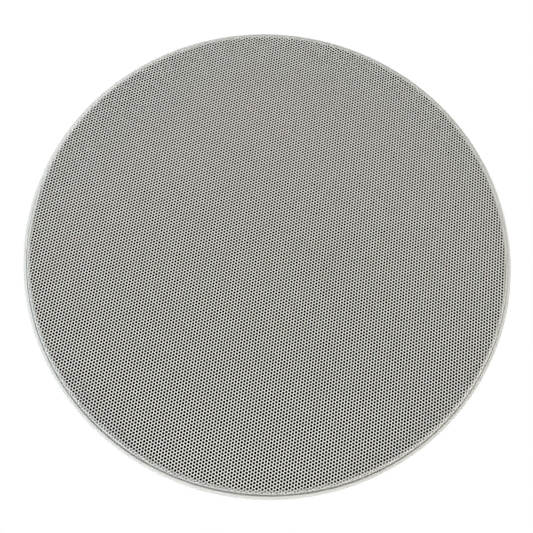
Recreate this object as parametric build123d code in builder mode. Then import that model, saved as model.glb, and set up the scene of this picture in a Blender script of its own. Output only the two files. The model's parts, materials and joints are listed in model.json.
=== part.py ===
from build123d import *
import os
from math import cos, hypot, radians, sin, sqrt

os.makedirs("parts", exist_ok=True)

# In-ceiling loudspeaker, a two-way coaxial in a clamped frame. All sizes are in millimetres.
# Z = 0 is the underside of the ceiling, +Z goes up into the ceiling space and the grille faces -Z.

# Front: grille and the thin lip round it
lip_radius = 117.5
lip_face = -2.4
lip_round = 0.4
groove_outer = 116.1
groove_inner = 113.6
groove_floor = -1.0
shoulder_face = -4.2
mouth_bevel = 1.2
grille_radius = 115.3
grille_face = -5.2
grille_sheet = 0.5
grille_bend = 1.4
skirt_edge = -1.6
cloth_radius = 113.7
cloth_thick = 0.3

# Stand-in perforation: the real sheet has 1.1 mm holes at 1.5 mm pitch, in the same close-packed rows
hole_pitch = 19.5
hole_ratio = 0.73
hole_sides = 6
perforated_radius = 106.0

# Grille magnets, let into the shoulder behind the grille
magnet_count = 8
magnet_circle = 107.3
magnet_radius = 4.0
magnet_top = -1.2
magnet_clear = 0.05
first_magnet = 22.5

# Moulded frame: spigot through the ceiling cut-out, floor, and the raised seat of the woofer
spigot_radius = 103.5
spigot_inner = 101.0
spigot_top = 22.0
spigot_lead = 0.8
floor_front = 6.0
floor_back = 9.0
step_inner = 84.0
step_outer = 86.5
seat_front = 11.0
seat_back = 14.0
seat_opening = 74.5
root = 0.5
overshoot = 1.0
blind_end = 1.0

# Clamps: a screw from the front carries a dog that swings out over the ceiling board and is drawn down on it
clamp_count = 3
clamp_angles = tuple(90.0 + 360.0 / clamp_count * turn for turn in range(clamp_count))
clamp_circle = 92.0
clamp_boss_radius = 6.0
clamp_boss_top = 14.0
tower_half = 5.5
tower_top = 54.0
tower_plate = 3.0
post_near = 8.0
post_far = 11.0
screw_radius = 2.0
screw_clear = 2.1
screw_head_radius = 4.2
screw_head = 3.0
screw_head_bevel = 0.9
screw_tip = 55.5
screw_tip_bevel = 0.5
recess_length = 5.0
recess_width = 1.0
recess_depth = 1.2
dog_rest = 36.5
dog_hub_radius = 6.2
dog_hub_height = 14.0
dog_reach = 28.0
dog_half_width = 4.5
dog_drop = 2.8
dog_relief = 0.7
dog_arm_top = 5.2
brace_reach = 20.0
brace_top = 13.0
brace_thick = 3.0
window_lead = 17.5
window_arc = 22.0
window_sill = 11.2

# Stiffening ribs behind the floor, as angles past each clamp
rib_angles = (14.0, 44.0, 54.0, 64.0, 74.0, 84.0, 94.0)
rib_thick = 2.0
rib_middle = (step_outer + spigot_inner) / 2
rib_top_inner = 13.0
rib_top_outer = 20.0
board_bay = 3

# Woofer
basket_radius = 82.5
basket_sheet = 1.2
basket_wall_front = 72.4
basket_slant = 1.5
shelf_outer = 50.0
shelf_inner = 41.0
shelf_front = 39.7
motor_front = 51.5
basket_windows = 12
basket_window_arc = 19.0
basket_window_inner = 46.0
window_front = 15.5
window_back = 35.5
woofer_screw_circle = 79.5
woofer_screw_count = 6
first_woofer_screw = 30.0
woofer_boss_radius = 3.5
woofer_boss_height = 7.0
pilot_radius = 1.55
small_screw_radius = 1.5
small_screw_clear = 1.7
small_head_radius = 2.8
small_head = 2.0
small_head_bevel = 0.7
woofer_screw_length = 9.5
rubber = 0.8
roll_outer = 71.5
roll_inner = 61.0
landing_outer = 76.2
landing_gap = 0.6
gasket_inner = 72.7
gasket_thick = 1.5
gasket_bevel = 0.5
cone_rim = 60.8
cone_edge = 56.9
cone_neck = 36.1
cone_wall = 1.0
cone_rim_thick = 0.8
cone_rim_root = 57.3
former_outer = 12.8
former_wall = 0.3
former_front = 34.5
coil_outer = 13.4
coil_front = 48.5
coil_back = 60.5
dust_cap_radius = 17.2
dust_cap_apex = 28.0
dust_cap_wall = 0.6
dust_cap_glue = 0.8
spider_cloth = 0.6
spider_waves = 8
spider_wave_height = 1.5
spider_inner = 13.8
spider_outer = 43.0
spider_edge = 49.0
plate_radius = 40.0
plate_thick = 6.0
gap_outer = 13.9
motor_hole = 14.6
pole_radius = 12.1
pole_vent = 5.0
vent_bevel = 2.0
yoke_bevel = 1.2
ferrite_radius = 45.0
ferrite_inner = 22.0
ferrite_thick = 15.0
ferrite_bevel = 1.0
rivet_count = 4
rivet_circle = 30.0
first_rivet = 45.0
rivet_radius = 1.5
rivet_hole = 1.55
rivet_hole_depth = 4.0
rivet_length = 5.0
rivet_head_radius = 3.0
rivet_head = 1.4

# Tweeter on its three-armed bridge
arm_count = 3
bridge_front = -3.0
bridge_back = 0.0
arm_width = 8.0
arm_end = 89.0
leg_inner = 85.5
foot_end = 97.5
foot_front = 3.0
foot_width = 24.0
foot_corner = 1.5
foot_screw_circle = 93.0
foot_screw_spread = 8.0
foot_boss_radius = 3.2
foot_boss_height = 5.0
bridge_screw_length = 9.0
hub_radius = 24.0
hub_bore = 17.5
hub_back = 9.0
hub_taper = 6.0
dome_radius = 12.2
dome_rise = 2.9
dome_lift = 0.4
dome_cloth = 0.4
dome_flange = 16.0
dome_flange_thick = 0.8
horn_throat = 12.9
horn_throat_depth = 0.8
horn_mouth = 16.5
tweeter_coil_inner = 12.7
tweeter_coil_outer = 13.2
tweeter_coil_back = 5.0
tweeter_hole = 2.5
tweeter_plate_radius = 12.3
tweeter_plate_front = 3.0
tweeter_magnet_radius = 10.5
tweeter_magnet_front = 6.0
cup_radius = 16.5
cup_inner = 13.8
cup_floor = 11.0
cup_back = 14.0
cup_bevel = 1.5

# Crossover board with the push terminals, on the floor beside the third clamp
board_start = 11.0
board_arc = 58.0
board_inner = 87.6
board_outer = 99.6
board_middle = 93.6
board_bottom = 12.0
board_top = 13.6
board_screw_angles = (14.0, 40.0, 66.0)
stand_off_radius = 3.0
board_pilot_radius = 1.35
board_screw_radius = 1.3
board_screw_clear = 1.5
board_screw_length = 6.0
board_head_radius = 2.6
board_head = 1.8
board_head_bevel = 0.6
capacitor_angle = 22.0
capacitor_depth = 9.0
capacitor_width = 16.0
capacitor_height = 11.0
capacitor_corner = 1.2
capacitor_bevel = 0.8
inductor_angle = 33.5
inductor_flange_radius = 6.0
inductor_flange = 1.5
inductor_post_radius = 3.0
inductor_winding_radius = 5.4
inductor_winding_height = 10.0
terminal_angle = 53.5
terminal_depth = 11.0
terminal_width = 30.0
terminal_top = 27.6
terminal_corner = 1.0
terminal_bevel = 0.5
tab_place = 4.6
tab_depth = 7.0
tab_width = 6.4
tab_clear = 0.3
tab_bottom = 21.4
tab_top = 31.0
tab_bevel = 0.8
pocket_bottom = 17.6
wire_place = 11.4
wire_radius = 1.8
terminal_tag_lift = 1.6
terminal_tag_length = 5.0
terminal_tag_width = 4.0
terminal_tag_thick = 0.8
terminal_tag_socket = 2.0

# Tag board on one of the basket's spokes
tag_board_angle = 30.0
tag_board_width = 18.0
tag_board_height = 10.0
tag_board_thick = 1.6
tag_board_corner = 1.0
tag_spread = 5.5
tag_thick = 0.8
tag_width = 5.0
tag_length = 6.0


def polar(radius, angle, height=0.0):
    # Point at a radius and an angle from +X
    return (radius * cos(radians(angle)), radius * sin(radians(angle)), height)


def station(radius, angle, height):
    # Level plane at a place on the ring: local x runs outwards, local y runs round
    return Plane(origin=polar(radius, angle, height), x_dir=polar(1, angle), z_dir=(0, 0, 1))


def sector(inner, outer, start, arc):
    # Part of a flat ring, from a start angle
    with BuildLine() as outline:
        CenterArc((0, 0), outer, start, arc)
        CenterArc((0, 0), inner, start, arc)
        for side in (start, start + arc):
            Line(polar(inner, side)[:2], polar(outer, side)[:2])
    make_face(outline.edges())


def corner(sketch, radius, height):
    # The profile's corner nearest to a point
    return sketch.vertices().sort_by_distance((radius, height))[0]


def ring(inner, outer, bottom, top):
    # Plain ring about the axis
    with BuildSketch(Plane.XY.offset(bottom)) as section:
        Circle(outer)
        Circle(inner, mode=Mode.SUBTRACT)
    extrude(section.sketch, amount=top - bottom)


def pan_screw(place, head_radius, head_height, shank_radius, shank_length):
    # Screw driven from the front: its head hangs below the place, its shank runs up from it
    with Locations(place):
        Cylinder(head_radius, head_height, align=(Align.CENTER, Align.CENTER, Align.MAX))
        Cylinder(shank_radius, shank_length, align=(Align.CENTER, Align.CENTER, Align.MIN))


def save(piece, name):
    piece.label = name
    export_step(piece, f"parts/{name}.step")


# Mounting frame: one moulding
with BuildPart() as mounting_frame:
    with BuildSketch(Plane.XZ) as frame_section:
        with BuildLine():
            Polyline(
                (spigot_radius, 0), (lip_radius, 0), (lip_radius, lip_face), (groove_outer, lip_face),
                (groove_outer, groove_floor), (groove_inner, groove_floor), (groove_inner, shoulder_face),
                (spigot_inner, shoulder_face), (spigot_inner, floor_front), (step_inner, floor_front),
                (step_inner, seat_front), (seat_opening, seat_front), (seat_opening, seat_back),
                (step_outer, seat_back), (step_outer, floor_back), (spigot_inner, floor_back),
                (spigot_inner, spigot_top), (spigot_radius, spigot_top), close=True,
            )
        make_face()
        fillet(corner(frame_section, lip_radius, lip_face), lip_round)
        chamfer(corner(frame_section, spigot_inner, shoulder_face), mouth_bevel)
        chamfer(corner(frame_section, spigot_radius, spigot_top), spigot_lead)
    revolve(axis=Axis.Z)
    # Ribs behind the floor, from the step to the spigot, their tops sloping down towards the middle
    with BuildSketch(Plane.XY.offset(floor_back)):
        for bay, angle in enumerate(clamp_angles, start=1):
            for past_clamp in rib_angles[:1] if bay == board_bay else rib_angles:
                with Locations(Location(polar(rib_middle, angle + past_clamp), (0, 0, angle + past_clamp))):
                    Rectangle(spigot_inner - step_outer + 2 * root, rib_thick)
    extrude(amount=rib_top_outer - floor_back)
    with BuildSketch(Plane.XZ):
        with BuildLine():
            Polyline((step_outer, rib_top_inner), (spigot_inner, rib_top_outer), (step_inner, rib_top_outer),
                     (step_inner, seat_back), (step_outer, seat_back), close=True)
        make_face()
    revolve(axis=Axis.Z, mode=Mode.SUBTRACT)
    # Openings in the spigot through which the dogs swing out
    with BuildSketch(Plane.XY.offset(window_sill)):
        for angle in clamp_angles:
            sector(spigot_inner - overshoot, spigot_radius + overshoot, angle - window_lead, window_arc)
    extrude(amount=spigot_top - window_sill, mode=Mode.SUBTRACT)
    # Clamp towers: a boss on the floor, a post beside the screw and a plate that steadies its tip
    with BuildSketch(Plane.XY.offset(floor_back)):
        with PolarLocations(clamp_circle, clamp_count, start_angle=clamp_angles[0]):
            Circle(clamp_boss_radius)
    extrude(amount=clamp_boss_top - floor_back)
    with BuildSketch(Plane.XY.offset(floor_back)):
        with PolarLocations(clamp_circle, clamp_count, start_angle=clamp_angles[0]):
            with Locations((0, (post_near + post_far) / 2)):
                Rectangle(2 * tower_half, post_far - post_near)
    extrude(amount=tower_top - floor_back)
    with BuildSketch(Plane.XY.offset(tower_top - tower_plate)):
        with PolarLocations(clamp_circle, clamp_count, start_angle=clamp_angles[0]):
            Circle(tower_half)
            with Locations((0, post_far / 2)):
                Rectangle(2 * tower_half, post_far)
    extrude(amount=tower_plate)
    # Bosses for the woofer screws, the bridge screws and the board
    with BuildSketch(Plane.XY.offset(seat_back)):
        with PolarLocations(woofer_screw_circle, woofer_screw_count, start_angle=first_woofer_screw):
            Circle(woofer_boss_radius)
    extrude(amount=woofer_boss_height)
    with BuildSketch(Plane.XY.offset(floor_back)):
        with PolarLocations(foot_screw_circle, arm_count):
            with Locations((0, -foot_screw_spread), (0, foot_screw_spread)):
                Circle(foot_boss_radius)
    extrude(amount=foot_boss_height)
    with BuildSketch(Plane.XY.offset(floor_back)):
        with Locations([polar(board_middle, angle) for angle in board_screw_angles]):
            Circle(stand_off_radius)
    extrude(amount=board_bottom - floor_back)
    # Screw holes: through the clamp towers, and blind in the bosses
    with BuildSketch(Plane.XY.offset(floor_front)):
        with PolarLocations(clamp_circle, clamp_count, start_angle=clamp_angles[0]):
            Circle(screw_clear)
    extrude(amount=tower_top - floor_front, mode=Mode.SUBTRACT)
    with BuildSketch(Plane.XY.offset(seat_front)):
        with PolarLocations(woofer_screw_circle, woofer_screw_count, start_angle=first_woofer_screw):
            Circle(pilot_radius)
    extrude(amount=seat_back - seat_front + woofer_boss_height - blind_end, mode=Mode.SUBTRACT)
    with BuildSketch(Plane.XY.offset(floor_front)):
        with PolarLocations(foot_screw_circle, arm_count):
            with Locations((0, -foot_screw_spread), (0, foot_screw_spread)):
                Circle(pilot_radius)
    extrude(amount=floor_back - floor_front + foot_boss_height - blind_end, mode=Mode.SUBTRACT)
    with BuildSketch(Plane.XY.offset(board_bottom)):
        with Locations([polar(board_middle, angle) for angle in board_screw_angles]):
            Circle(board_pilot_radius)
    extrude(amount=floor_front + blind_end - board_bottom, mode=Mode.SUBTRACT)
    # Pockets for the grille magnets
    with BuildSketch(Plane.XY.offset(shoulder_face)):
        with PolarLocations(magnet_circle, magnet_count, start_angle=first_magnet):
            Circle(magnet_radius + magnet_clear)
    extrude(amount=magnet_top - shoulder_face, mode=Mode.SUBTRACT)
save(mounting_frame.part, "mounting_frame")

# Grille: a perforated steel disc with its edge turned up into the frame's groove
grille_back = grille_face + grille_sheet
flat_radius = grille_radius - grille_bend
skirt_inner = grille_radius - grille_sheet
bend_back = grille_face + grille_bend
with BuildPart() as grille:
    with BuildSketch(Plane.XZ):
        with BuildLine():
            Polyline((flat_radius, grille_face), (0, grille_face), (0, grille_back), (flat_radius, grille_back))
            RadiusArc((flat_radius, grille_back), (skirt_inner, bend_back), grille_sheet - grille_bend)
            Polyline((skirt_inner, bend_back), (skirt_inner, skirt_edge), (grille_radius, skirt_edge),
                     (grille_radius, bend_back))
            RadiusArc((grille_radius, bend_back), (flat_radius, grille_face), grille_bend)
        make_face()
    revolve(axis=Axis.Z)
    row_pitch = hole_pitch * sqrt(3) / 2
    row_count = int(perforated_radius / row_pitch)
    hole_places = [
        (row * row_pitch, (step + (row % 2) / 2) * hole_pitch)
        for row in range(-row_count, row_count + 1)
        for step in range(-row_count, row_count + 1)
    ]
    with BuildSketch(Plane.XY.offset(grille_face)):
        with Locations([place for place in hole_places if hypot(*place) < perforated_radius]):
            RegularPolygon(hole_ratio * hole_pitch / 2, hole_sides, major_radius=False)
    extrude(amount=grille_sheet, mode=Mode.SUBTRACT)
save(grille.part, "grille")

# Backing cloth, bonded behind the grille
cloth_back = grille_back + cloth_thick
with BuildPart() as grille_cloth:
    with BuildSketch(Plane.XY.offset(grille_back)):
        Circle(cloth_radius)
    extrude(amount=cloth_thick)
save(grille_cloth.part, "grille_cloth")

with BuildPart() as grille_magnets:
    with BuildSketch(Plane.XY.offset(cloth_back)):
        with PolarLocations(magnet_circle, magnet_count, start_angle=first_magnet):
            Circle(magnet_radius)
    extrude(amount=magnet_top - cloth_back)
save(grille_magnets.part, "grille_magnets")

# Clamps, each with its own screw and dog, drawn stowed at the top of the screw
for number, angle in enumerate(clamp_angles, start=1):
    with BuildPart(station(clamp_circle, angle, floor_front)) as clamp_screw:
        pan_screw((0, 0, 0), screw_head_radius, screw_head, screw_radius, screw_tip - floor_front)
        chamfer(clamp_screw.edges().group_by(Axis.Z)[0], screw_head_bevel)
        chamfer(clamp_screw.edges().group_by(Axis.Z)[-1], screw_tip_bevel)
        with Locations((0, 0, -screw_head)):
            Box(recess_length, recess_width, 2 * recess_depth, mode=Mode.SUBTRACT)
            Box(recess_width, recess_length, 2 * recess_depth, mode=Mode.SUBTRACT)
    save(clamp_screw.part, f"clamp_screw_{number}")

    with BuildPart() as clamp_dog:
        # Arm with a rounded end, lying along the ring, its foot below the hub
        with BuildSketch(station(clamp_circle, angle, dog_rest - dog_drop)):
            with Locations((0, -(dog_reach - dog_half_width) / 2)):
                Rectangle(2 * dog_half_width, dog_reach - dog_half_width)
            with Locations((0, -(dog_reach - dog_half_width))):
                Circle(dog_half_width)
        extrude(amount=dog_drop + dog_arm_top)
        with BuildSketch(station(clamp_circle, angle, dog_rest - dog_drop)):
            Circle(dog_hub_radius + dog_relief)
        extrude(amount=dog_drop, mode=Mode.SUBTRACT)
        with BuildSketch(station(clamp_circle, angle, dog_rest)):
            Circle(dog_hub_radius)
        extrude(amount=dog_hub_height)
        # Web that braces the arm against the hub
        brace = station(clamp_circle, angle, dog_rest)
        with BuildSketch(Plane(origin=brace.origin, x_dir=polar(1, angle - 90), z_dir=polar(-1, angle))):
            with BuildLine():
                Polyline((0, dog_arm_top - root), (brace_reach, dog_arm_top - root),
                         (dog_hub_radius, brace_top), (0, brace_top), close=True)
            make_face()
        extrude(amount=brace_thick / 2, both=True)
        with BuildSketch(station(clamp_circle, angle, dog_rest)):
            Circle(screw_clear)
        extrude(amount=dog_hub_height, mode=Mode.SUBTRACT)
    save(clamp_dog.part, f"clamp_dog_{number}")

# Woofer basket: a pressed steel bowl with windows, a shelf for the spider and a plate for the motor
flange_front = seat_front - basket_sheet
shelf_back = shelf_front + basket_sheet
plate_front = motor_front - basket_sheet
wall_front = (basket_wall_front + basket_slant, seat_front)
wall_back = (shelf_outer + basket_sheet, shelf_back)
neck_radius = shelf_inner + basket_sheet
with BuildPart() as woofer_basket:
    with BuildSketch(Plane.XZ):
        with BuildLine():
            Polyline(
                (basket_radius, flange_front), (basket_radius, seat_front), wall_front, wall_back,
                (neck_radius, shelf_back), (neck_radius, motor_front), (motor_hole, motor_front),
                (motor_hole, plate_front), (shelf_inner, plate_front), (shelf_inner, shelf_front),
                (shelf_outer, shelf_front), (basket_wall_front, seat_front), (basket_wall_front, flange_front),
                close=True,
            )
        make_face()
    revolve(axis=Axis.Z)
    with BuildSketch(Plane.XY.offset(window_front)):
        for count in range(basket_windows):
            middle = (count + 0.5) * 360 / basket_windows
            sector(basket_window_inner, basket_radius, middle - basket_window_arc / 2, basket_window_arc)
    extrude(amount=window_back - window_front, mode=Mode.SUBTRACT)
    with BuildSketch(Plane.XY.offset(flange_front)):
        with PolarLocations(woofer_screw_circle, woofer_screw_count, start_angle=first_woofer_screw):
            Circle(small_screw_clear)
    extrude(amount=basket_sheet, mode=Mode.SUBTRACT)
    with BuildSketch(Plane.XY.offset(plate_front)):
        with PolarLocations(rivet_circle, rivet_count, start_angle=first_rivet):
            Circle(rivet_hole)
    extrude(amount=basket_sheet, mode=Mode.SUBTRACT)
save(woofer_basket.part, "woofer_basket")

with BuildPart() as woofer_screws:
    with PolarLocations(woofer_screw_circle, woofer_screw_count, start_angle=first_woofer_screw):
        pan_screw((0, 0, flange_front), small_head_radius, small_head, small_screw_radius, woofer_screw_length)
    chamfer(woofer_screws.edges().group_by(Axis.Z)[0], small_head_bevel)
save(woofer_screws.part, "woofer_screws")

# Surround: a half roll of rubber that bulges to the front, with a flat landing on each side
landing_front = flange_front - rubber
landing_inner = cone_edge + landing_gap
roll_middle = (roll_outer + roll_inner) / 2
roll_centre = flange_front - rubber / 2
roll_radius = (roll_outer - roll_inner) / 2
skin = rubber / 2
with BuildPart() as surround:
    with BuildSketch(Plane.XZ):
        with BuildLine():
            Polyline((roll_outer - skin, flange_front), (landing_outer, flange_front),
                     (landing_outer, landing_front), (roll_outer + skin, landing_front),
                     (roll_outer + skin, roll_centre))
            ThreePointArc((roll_outer + skin, roll_centre), (roll_middle, roll_centre - roll_radius - skin),
                          (roll_inner - skin, roll_centre))
            Polyline((roll_inner - skin, roll_centre), (roll_inner - skin, landing_front),
                     (landing_inner, landing_front), (landing_inner, flange_front),
                     (roll_inner + skin, flange_front), (roll_inner + skin, roll_centre))
            ThreePointArc((roll_inner + skin, roll_centre), (roll_middle, roll_centre - roll_radius + skin),
                          (roll_outer - skin, roll_centre))
            Line((roll_outer - skin, roll_centre), (roll_outer - skin, flange_front))
        make_face()
    revolve(axis=Axis.Z)
save(surround.part, "surround")

with BuildPart() as woofer_gasket:
    ring(gasket_inner, landing_outer, landing_front - gasket_thick, landing_front)
    chamfer(woofer_gasket.edges().group_by(Axis.Z)[0], gasket_bevel)
save(woofer_gasket.part, "woofer_gasket")

# Moving assembly: cone, dust cap, former and coil
cone_slope = (cone_neck - flange_front) / (cone_edge - former_outer)
rim_back = flange_front + cone_rim_thick


def cone_front(radius):
    # Height of the cone's front face at a radius
    return cone_neck - (radius - former_outer) * cone_slope


with BuildPart() as cone:
    with BuildSketch(Plane.XZ):
        with BuildLine():
            Polyline((cone_edge, flange_front), (cone_rim, flange_front), (cone_rim, rim_back),
                     (cone_rim_root, rim_back), (former_outer, cone_neck + cone_wall),
                     (former_outer, cone_neck), close=True)
        make_face()
    revolve(axis=Axis.Z)
save(cone.part, "cone")

cap_seat = dust_cap_radius - dust_cap_glue
cap_edge = (dust_cap_radius, cone_front(dust_cap_radius))
cap_inner_edge = (cap_seat, cone_front(cap_seat))
cap_inner_apex = dust_cap_apex + dust_cap_wall


def cap_sphere(edge, apex):
    # Radius of the sphere through an edge circle and an apex on the axis
    bulge = edge[1] - apex
    return (edge[0] ** 2 + bulge**2) / (2 * bulge)


with BuildPart() as dust_cap:
    with BuildSketch(Plane.XZ):
        with BuildLine():
            RadiusArc((0, dust_cap_apex), cap_edge, -cap_sphere(cap_edge, dust_cap_apex))
            Line(cap_edge, cap_inner_edge)
            RadiusArc(cap_inner_edge, (0, cap_inner_apex), cap_sphere(cap_inner_edge, cap_inner_apex))
            Line((0, cap_inner_apex), (0, dust_cap_apex))
        make_face()
    revolve(axis=Axis.Z)
save(dust_cap.part, "dust_cap")

with BuildPart() as coil_former:
    ring(former_outer - former_wall, former_outer, former_front, coil_back)
save(coil_former.part, "coil_former")

with BuildPart() as voice_coil:
    ring(former_outer, coil_outer, coil_front, coil_back)
save(voice_coil.part, "voice_coil")

# Spider: a corrugated disc of stiffened cloth, glued to the former and to the basket's shelf
spider_middle = shelf_front - spider_cloth / 2
wave_half = (spider_outer - spider_inner) / (2 * spider_waves)
wave_line = [(former_outer, spider_middle), (spider_inner, spider_middle)]
for count in range(spider_waves):
    wave_crest = spider_wave_height if count % 2 == 0 else -spider_wave_height
    wave_line.append((spider_inner + (2 * count + 1) * wave_half, spider_middle + wave_crest))
wave_line += [(spider_outer, spider_middle), (spider_edge, spider_middle)]
with BuildPart() as spider:
    with BuildSketch(Plane.XZ):
        with BuildLine():
            Polyline(
                *[(radius, height + spider_cloth / 2) for radius, height in wave_line],
                *[(radius, height - spider_cloth / 2) for radius, height in reversed(wave_line)],
                close=True,
            )
        make_face()
    revolve(axis=Axis.Z)
save(spider.part, "spider")

# Magnet motor: top plate, ferrite ring, and the back plate with its pole
magnet_front = motor_front + plate_thick
yoke_front = magnet_front + ferrite_thick
yoke_back = yoke_front + plate_thick
with BuildPart() as top_plate:
    ring(gap_outer, plate_radius, motor_front, magnet_front)
    with BuildSketch(Plane.XY.offset(motor_front)):
        with PolarLocations(rivet_circle, rivet_count, start_angle=first_rivet):
            Circle(rivet_hole)
    extrude(amount=rivet_hole_depth, mode=Mode.SUBTRACT)
save(top_plate.part, "top_plate")

with BuildPart() as woofer_magnet:
    ring(ferrite_inner, ferrite_radius, magnet_front, yoke_front)
    chamfer(woofer_magnet.edges().filter_by(GeomType.CIRCLE).group_by(SortBy.RADIUS)[-1], ferrite_bevel)
save(woofer_magnet.part, "woofer_magnet")

with BuildPart() as pole_yoke:
    with BuildSketch(Plane.XZ) as yoke_section:
        with BuildLine():
            Polyline((pole_vent, motor_front), (pole_radius, motor_front), (pole_radius, yoke_front),
                     (plate_radius, yoke_front), (plate_radius, yoke_back), (pole_vent, yoke_back), close=True)
        make_face()
        chamfer(corner(yoke_section, plate_radius, yoke_back), yoke_bevel)
        chamfer(corner(yoke_section, pole_vent, yoke_back), vent_bevel)
    revolve(axis=Axis.Z)
save(pole_yoke.part, "pole_yoke")

with BuildPart() as motor_rivets:
    with PolarLocations(rivet_circle, rivet_count, start_angle=first_rivet):
        pan_screw((0, 0, plate_front), rivet_head_radius, rivet_head, rivet_radius, rivet_length)
    chamfer(motor_rivets.edges().group_by(Axis.Z)[0], small_head_bevel)
save(motor_rivets.part, "motor_rivets")

# Tweeter bridge: a hub on three arms, each with a leg up to a foot on the frame's floor
with BuildPart() as tweeter_bridge:
    with BuildSketch(Plane.XY.offset(bridge_front)):
        Circle(hub_radius)
        with PolarLocations(arm_end / 2, arm_count):
            Rectangle(arm_end, arm_width)
    extrude(amount=bridge_back - bridge_front)
    with BuildSketch(Plane.XY.offset(bridge_back)):
        Circle(hub_radius)
    extrude(amount=hub_back - bridge_back, taper=hub_taper)
    with BuildSketch(Plane.XY.offset(bridge_front)):
        with PolarLocations((leg_inner + arm_end) / 2, arm_count):
            Rectangle(arm_end - leg_inner, arm_width)
    extrude(amount=floor_front - bridge_front)
    with BuildSketch(Plane.XY.offset(foot_front)):
        with PolarLocations((leg_inner + foot_end) / 2, arm_count):
            RectangleRounded(foot_end - leg_inner, foot_width, foot_corner)
        with PolarLocations(foot_screw_circle, arm_count):
            with Locations((0, -foot_screw_spread), (0, foot_screw_spread)):
                Circle(small_screw_clear, mode=Mode.SUBTRACT)
    extrude(amount=floor_front - foot_front)
    with BuildSketch(Plane.XY.offset(bridge_front)):
        Circle(hub_bore)
    extrude(amount=hub_back - bridge_front, mode=Mode.SUBTRACT)
save(tweeter_bridge.part, "tweeter_bridge")

with BuildPart() as bridge_screws:
    with PolarLocations(foot_screw_circle, arm_count):
        for side in (-1, 1):
            pan_screw((0, side * foot_screw_spread, foot_front), small_head_radius, small_head,
                      small_screw_radius, bridge_screw_length)
    chamfer(bridge_screws.edges().group_by(Axis.Z)[0], small_head_bevel)
save(bridge_screws.part, "bridge_screws")

with BuildPart() as tweeter_faceplate:
    with BuildSketch(Plane.XZ):
        with BuildLine():
            Polyline((hub_bore, bridge_front), (hub_bore, bridge_back), (horn_throat, bridge_back),
                     (horn_throat, bridge_back - horn_throat_depth), (horn_mouth, bridge_front), close=True)
        make_face()
    revolve(axis=Axis.Z)
save(tweeter_faceplate.part, "tweeter_faceplate")

dome_base = bridge_back + dome_lift
dome_apex = dome_base - dome_rise
flange_back = bridge_back + dome_flange_thick
dome_sphere = (dome_radius**2 + dome_rise**2) / (2 * dome_rise)
dome_inner_sphere = dome_sphere - dome_cloth
dome_inner_radius = sqrt(dome_inner_sphere**2 - (dome_sphere - dome_rise) ** 2)
with BuildPart() as tweeter_dome:
    with BuildSketch(Plane.XZ):
        with BuildLine():
            RadiusArc((0, dome_apex), (dome_radius, dome_base), -dome_sphere)
            Polyline((dome_radius, dome_base), (dome_radius, bridge_back), (dome_flange, bridge_back),
                     (dome_flange, flange_back), (dome_inner_radius, flange_back),
                     (dome_inner_radius, dome_base))
            RadiusArc((dome_inner_radius, dome_base), (0, dome_apex + dome_cloth), dome_inner_sphere)
            Line((0, dome_apex + dome_cloth), (0, dome_apex))
        make_face()
    revolve(axis=Axis.Z)
save(tweeter_dome.part, "tweeter_dome")

with BuildPart() as tweeter_coil:
    ring(tweeter_coil_inner, tweeter_coil_outer, flange_back, tweeter_coil_back)
save(tweeter_coil.part, "tweeter_coil")

with BuildPart() as tweeter_pole_plate:
    ring(tweeter_hole, tweeter_plate_radius, tweeter_plate_front, tweeter_magnet_front)
save(tweeter_pole_plate.part, "tweeter_pole_plate")

with BuildPart() as tweeter_magnet:
    ring(tweeter_hole, tweeter_magnet_radius, tweeter_magnet_front, cup_floor)
save(tweeter_magnet.part, "tweeter_magnet")

with BuildPart() as tweeter_cup:
    with BuildSketch(Plane.XZ) as cup_section:
        with BuildLine():
            Polyline((cup_radius, flange_back), (cup_radius, cup_back), (0, cup_back), (0, cup_floor),
                     (cup_inner, cup_floor), (cup_inner, flange_back), close=True)
        make_face()
        chamfer(corner(cup_section, cup_radius, cup_back), cup_bevel)
    revolve(axis=Axis.Z)
save(tweeter_cup.part, "tweeter_cup")

# Crossover board: a curved strip on three stand-offs, with its parts on the upper side
with BuildPart() as crossover_board:
    with BuildSketch(Plane.XY.offset(board_bottom)):
        sector(board_inner, board_outer, board_start, board_arc)
        with Locations([polar(board_middle, angle) for angle in board_screw_angles]):
            Circle(board_screw_clear, mode=Mode.SUBTRACT)
    extrude(amount=board_top - board_bottom)
save(crossover_board.part, "crossover_board")

with BuildPart() as board_screws:
    for angle in board_screw_angles:
        with Locations(polar(board_middle, angle, board_top)):
            Cylinder(board_head_radius, board_head, align=(Align.CENTER, Align.CENTER, Align.MIN))
            Cylinder(board_screw_radius, board_screw_length, align=(Align.CENTER, Align.CENTER, Align.MAX))
    chamfer(board_screws.edges().group_by(Axis.Z)[-1], board_head_bevel)
save(board_screws.part, "board_screws")

with BuildPart() as crossover_capacitor:
    with BuildSketch(station(board_middle, capacitor_angle, board_top)):
        RectangleRounded(capacitor_depth, capacitor_width, capacitor_corner)
    extrude(amount=capacitor_height)
    chamfer(crossover_capacitor.edges().group_by(Axis.Z)[-1], capacitor_bevel)
save(crossover_capacitor.part, "crossover_capacitor")

winding_bottom = board_top + inductor_flange
winding_top = winding_bottom + inductor_winding_height
with BuildPart() as inductor_core:
    for bottom, height, radius in (
        (board_top, inductor_flange, inductor_flange_radius),
        (winding_bottom, inductor_winding_height, inductor_post_radius),
        (winding_top, inductor_flange, inductor_flange_radius),
    ):
        with BuildSketch(station(board_middle, inductor_angle, bottom)):
            Circle(radius)
        extrude(amount=height)
save(inductor_core.part, "inductor_core")

with BuildPart() as inductor_winding:
    with BuildSketch(station(board_middle, inductor_angle, winding_bottom)):
        Circle(inductor_winding_radius)
        Circle(inductor_post_radius, mode=Mode.SUBTRACT)
    extrude(amount=inductor_winding_height)
save(inductor_winding.part, "inductor_winding")

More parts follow.
